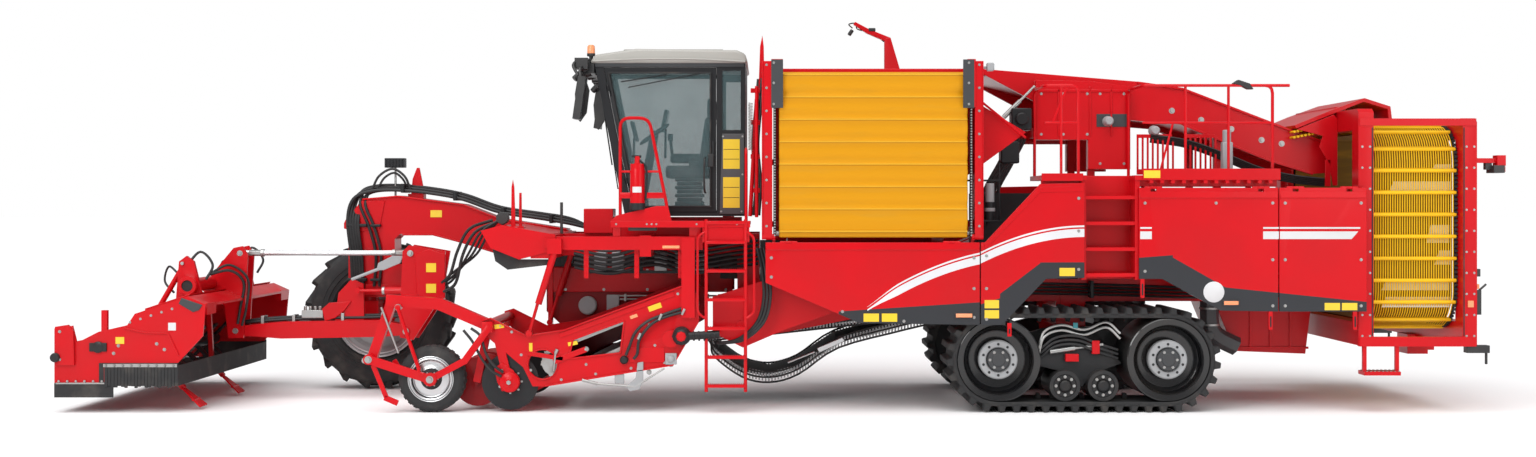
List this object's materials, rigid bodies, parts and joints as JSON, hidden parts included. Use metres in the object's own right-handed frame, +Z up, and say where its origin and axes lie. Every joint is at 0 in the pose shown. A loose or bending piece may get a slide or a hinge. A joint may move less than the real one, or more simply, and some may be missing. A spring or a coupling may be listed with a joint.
{
  "type": "self-propelled potato harvester",
  "caption": "Self-propelled potato harvester with a front haulm topper, side digging unit, cab, side-emptying bunker, picking platform, rear ring elevator and rubber tracks.",
  "frame": {"origin": "on the ground under the middle of the machine's box", "axes": "+X towards the rear, +Y towards the machine's right side, +Z up; it travels towards -X"},
  "size_m": [15.16, 3.2443, 4.2413],
  "materials": {
    "red_paint": "bright red gloss paint",
    "deep_red_paint": "dark red paint",
    "black_paint": "black satin paint",
    "grey_paint": "dark grey satin paint",
    "silver_paint": "silver paint",
    "bare_steel": "worn bare steel",
    "black_rubber": "matt black rubber",
    "black_tyre": "matt black tyre rubber",
    "yellow_belt": "golden yellow belt",
    "yellow_web": "yellow coated rods",
    "roof_white": "off-white moulded plastic",
    "cab_glass": "tinted clear glass",
    "seat_cloth": "dark woven cloth",
    "grey_plastic": "dark grey matt plastic"
  },
  "bodies": {
    "chassis": {"main_frame": "red_paint", "engine_block": "grey_paint", "side_panel_b_left": "red_paint", "side_panel_b_right": "red_paint", "cab_shell": "black_paint", "cab_roof": "roof_white", "cab_mirrors": "black_paint", "driver_seat": "seat_cloth", "steering_console": "grey_plastic", "windscreen": "cab_glass", "window_right": "cab_glass", "quarter_window_left": "cab_glass", "quarter_window_right": "cab_glass", "cab_access": "red_paint", "bunker": "red_paint", "sorting_unit": "red_paint", "picking_platform": "red_paint", "elevator_frame": "red_paint", "ring_web": "yellow_web", "belly_hopper": "red_paint", "air_duct": "grey_paint", "rear_sieving_web": "bare_steel", "track_left": "black_rubber", "track_right": "black_rubber", "bogie_left": "grey_paint", "bogie_right": "grey_paint", "intake_curtain": "black_rubber", "sieving_housing": "deep_red_paint"},
    "front_knuckle": {"front_knuckle": "red_paint"},
    "front_wheel": {"front_tyre": "black_tyre", "front_rim": "silver_paint"},
    "topper_arm": {"topper_arm": "red_paint"},
    "topper_link": {"topper_link": "silver_paint"},
    "topper": {"topper_housing": "red_paint", "topper_skirt": "black_rubber"},
    "topper_rotor": {"topper_rotor": "black_paint"},
    "digging_unit": {"digging_frame": "red_paint", "sieving_web": "bare_steel"},
    "depth_wheel": {"depth_wheel": "black_tyre"},
    "cutting_disc_left": {"cutting_disc_left": "bare_steel"},
    "cutting_disc_right": {"cutting_disc_right": "bare_steel"},
    "diabolo_rollers": {"diabolo_rollers": "deep_red_paint"},
    "cab_door": {"cab_door": "black_paint", "cab_door_glass": "cab_glass"},
    "discharge_conveyor": {"discharge_frame": "red_paint", "discharge_belt": "yellow_belt"},
    "panel_a_left": {"side_panel_a_left": "red_paint"},
    "panel_a_right": {"side_panel_a_right": "red_paint"},
    "panel_c_left": {"side_panel_c_left": "red_paint"},
    "panel_c_right": {"side_panel_c_right": "red_paint"},
    "panel_d_left": {"side_panel_d_left": "red_paint"},
    "panel_d_right": {"side_panel_d_right": "red_paint"}
  },
  "joints": [
    {"name": "steering", "type": "hinge", "parent": "chassis", "child": "front_knuckle", "pos_m": [-4.71, 0.42, 1.12], "axis": [0, 0, 1], "range_deg": [-28, 28]},
    {"name": "front_wheel_spin", "type": "hinge", "parent": "front_knuckle", "child": "front_wheel", "pos_m": [-4.71, 1.05, 0.875], "axis": [0, 1, 0], "continuous": true},
    {"name": "topper_lift", "type": "hinge", "parent": "chassis", "child": "topper_arm", "pos_m": [-4.16, -0.07, 0.76], "axis": [0, 1, 0], "range_deg": [0, 25]},
    {"name": "topper_level", "type": "hinge", "parent": "topper_arm", "child": "topper", "pos_m": [-6.08, -0.07, 0.76], "axis": [0, 1, 0], "range_deg": [-25, 0]},
    {"name": "topper_link_swing", "type": "hinge", "parent": "chassis", "child": "topper_link", "pos_m": [-4.11, -0.07, 1.63], "axis": [0, 1, 0], "range_deg": [0, 25]},
    {"name": "topper_rotor_spin", "type": "hinge", "parent": "topper", "child": "topper_rotor", "pos_m": [-6.9, 0.08, 0.55], "axis": [0, 1, 0], "continuous": true},
    {"name": "digging_lift", "type": "hinge", "parent": "chassis", "child": "digging_unit", "pos_m": [-0.95, -0.63, 1.06], "axis": [0, 1, 0], "range_deg": [0, 10]},
    {"name": "depth_wheel_spin", "type": "hinge", "parent": "digging_unit", "child": "depth_wheel", "pos_m": [-3.64, -1.49, 0.35], "axis": [0, 1, 0], "continuous": true},
    {"name": "cutting_disc_left_spin", "type": "hinge", "parent": "digging_unit", "child": "cutting_disc_left", "pos_m": [-2.82, -1.4197, 0.318], "axis": [0, 1, 0], "continuous": true},
    {"name": "cutting_disc_right_spin", "type": "hinge", "parent": "digging_unit", "child": "cutting_disc_right", "pos_m": [-2.82, 0.1597, 0.318], "axis": [0, 1, 0], "continuous": true},
    {"name": "diabolo_rollers_spin", "type": "hinge", "parent": "digging_unit", "child": "diabolo_rollers", "pos_m": [-3.19, -0.64, 0.3], "axis": [0, 1, 0], "continuous": true},
    {"name": "cab_door_hinge", "type": "hinge", "parent": "chassis", "child": "cab_door", "pos_m": [-1.622, -0.89, 2.34], "axis": [0.1961, 0, -0.9806], "range_deg": [0, 45]},
    {"name": "conveyor_fold", "type": "hinge", "parent": "chassis", "child": "discharge_conveyor", "pos_m": [0.95, -1.52, 1.84], "axis": [1, 0, 0], "range_deg": [0, 75]},
    {"name": "panel_a_left_hinge", "type": "hinge", "parent": "chassis", "child": "panel_a_left", "pos_m": [0.95, -1.545, 1.78], "axis": [-1, 0, 0], "range_deg": [0, 60]},
    {"name": "panel_a_right_hinge", "type": "hinge", "parent": "chassis", "child": "panel_a_right", "pos_m": [0.95, 1.545, 1.78], "axis": [1, 0, 0], "range_deg": [0, 60]},
    {"name": "panel_c_left_hinge", "type": "hinge", "parent": "chassis", "child": "panel_c_left", "pos_m": [4.46, -1.545, 2.35], "axis": [-1, 0, 0], "range_deg": [0, 60]},
    {"name": "panel_c_right_hinge", "type": "hinge", "parent": "chassis", "child": "panel_c_right", "pos_m": [4.46, 1.545, 2.35], "axis": [1, 0, 0], "range_deg": [0, 60]},
    {"name": "panel_d_left_hinge", "type": "hinge", "parent": "chassis", "child": "panel_d_left", "pos_m": [5.66, -1.545, 2.35], "axis": [-1, 0, 0], "range_deg": [0, 60]},
    {"name": "panel_d_right_hinge", "type": "hinge", "parent": "chassis", "child": "panel_d_right", "pos_m": [5.66, 1.545, 2.35], "axis": [1, 0, 0], "range_deg": [0, 60]}
  ],
  "couplings": [
    {"joint": "topper_level", "follows": "topper_lift", "ratio": -1},
    {"joint": "topper_link_swing", "follows": "topper_lift", "ratio": 1}
  ]
}
